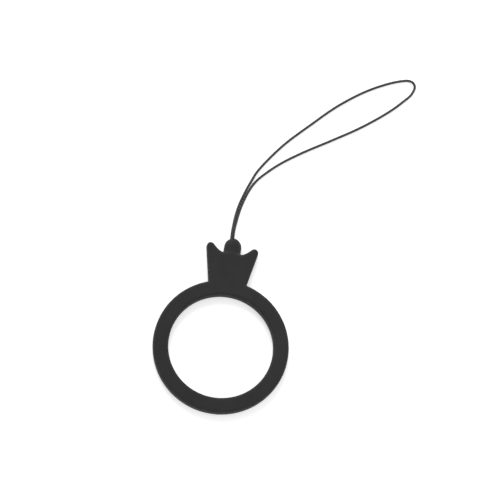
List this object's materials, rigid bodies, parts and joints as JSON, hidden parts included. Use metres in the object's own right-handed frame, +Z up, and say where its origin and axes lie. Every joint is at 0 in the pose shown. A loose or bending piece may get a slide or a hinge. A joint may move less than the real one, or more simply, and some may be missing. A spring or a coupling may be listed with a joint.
{
  "type": "silicone phone lanyard",
  "caption": "Soft silicone finger ring with a small moulded crown and a thin cord loop that hitches to a phone or its case.",
  "frame": {"origin": "under the middle of the silicone's box, on the surface that the lanyard lies on, without the cord", "axes": "+Y from the ring towards the crown and the cord, +Z up out of the ring's flat front face, +X to the right seen from above"},
  "size_m": [0.0685, 0.1061, 0.0034],
  "materials": {
    "silicone": "matte charcoal silicone with a fine moulded grain",
    "cord": "near-black braided nylon"
  },
  "bodies": {
    "root": {"ring_and_crown": "silicone", "cord_loop": "cord", "cord_knot": "cord"}
  },
  "joints": []
}
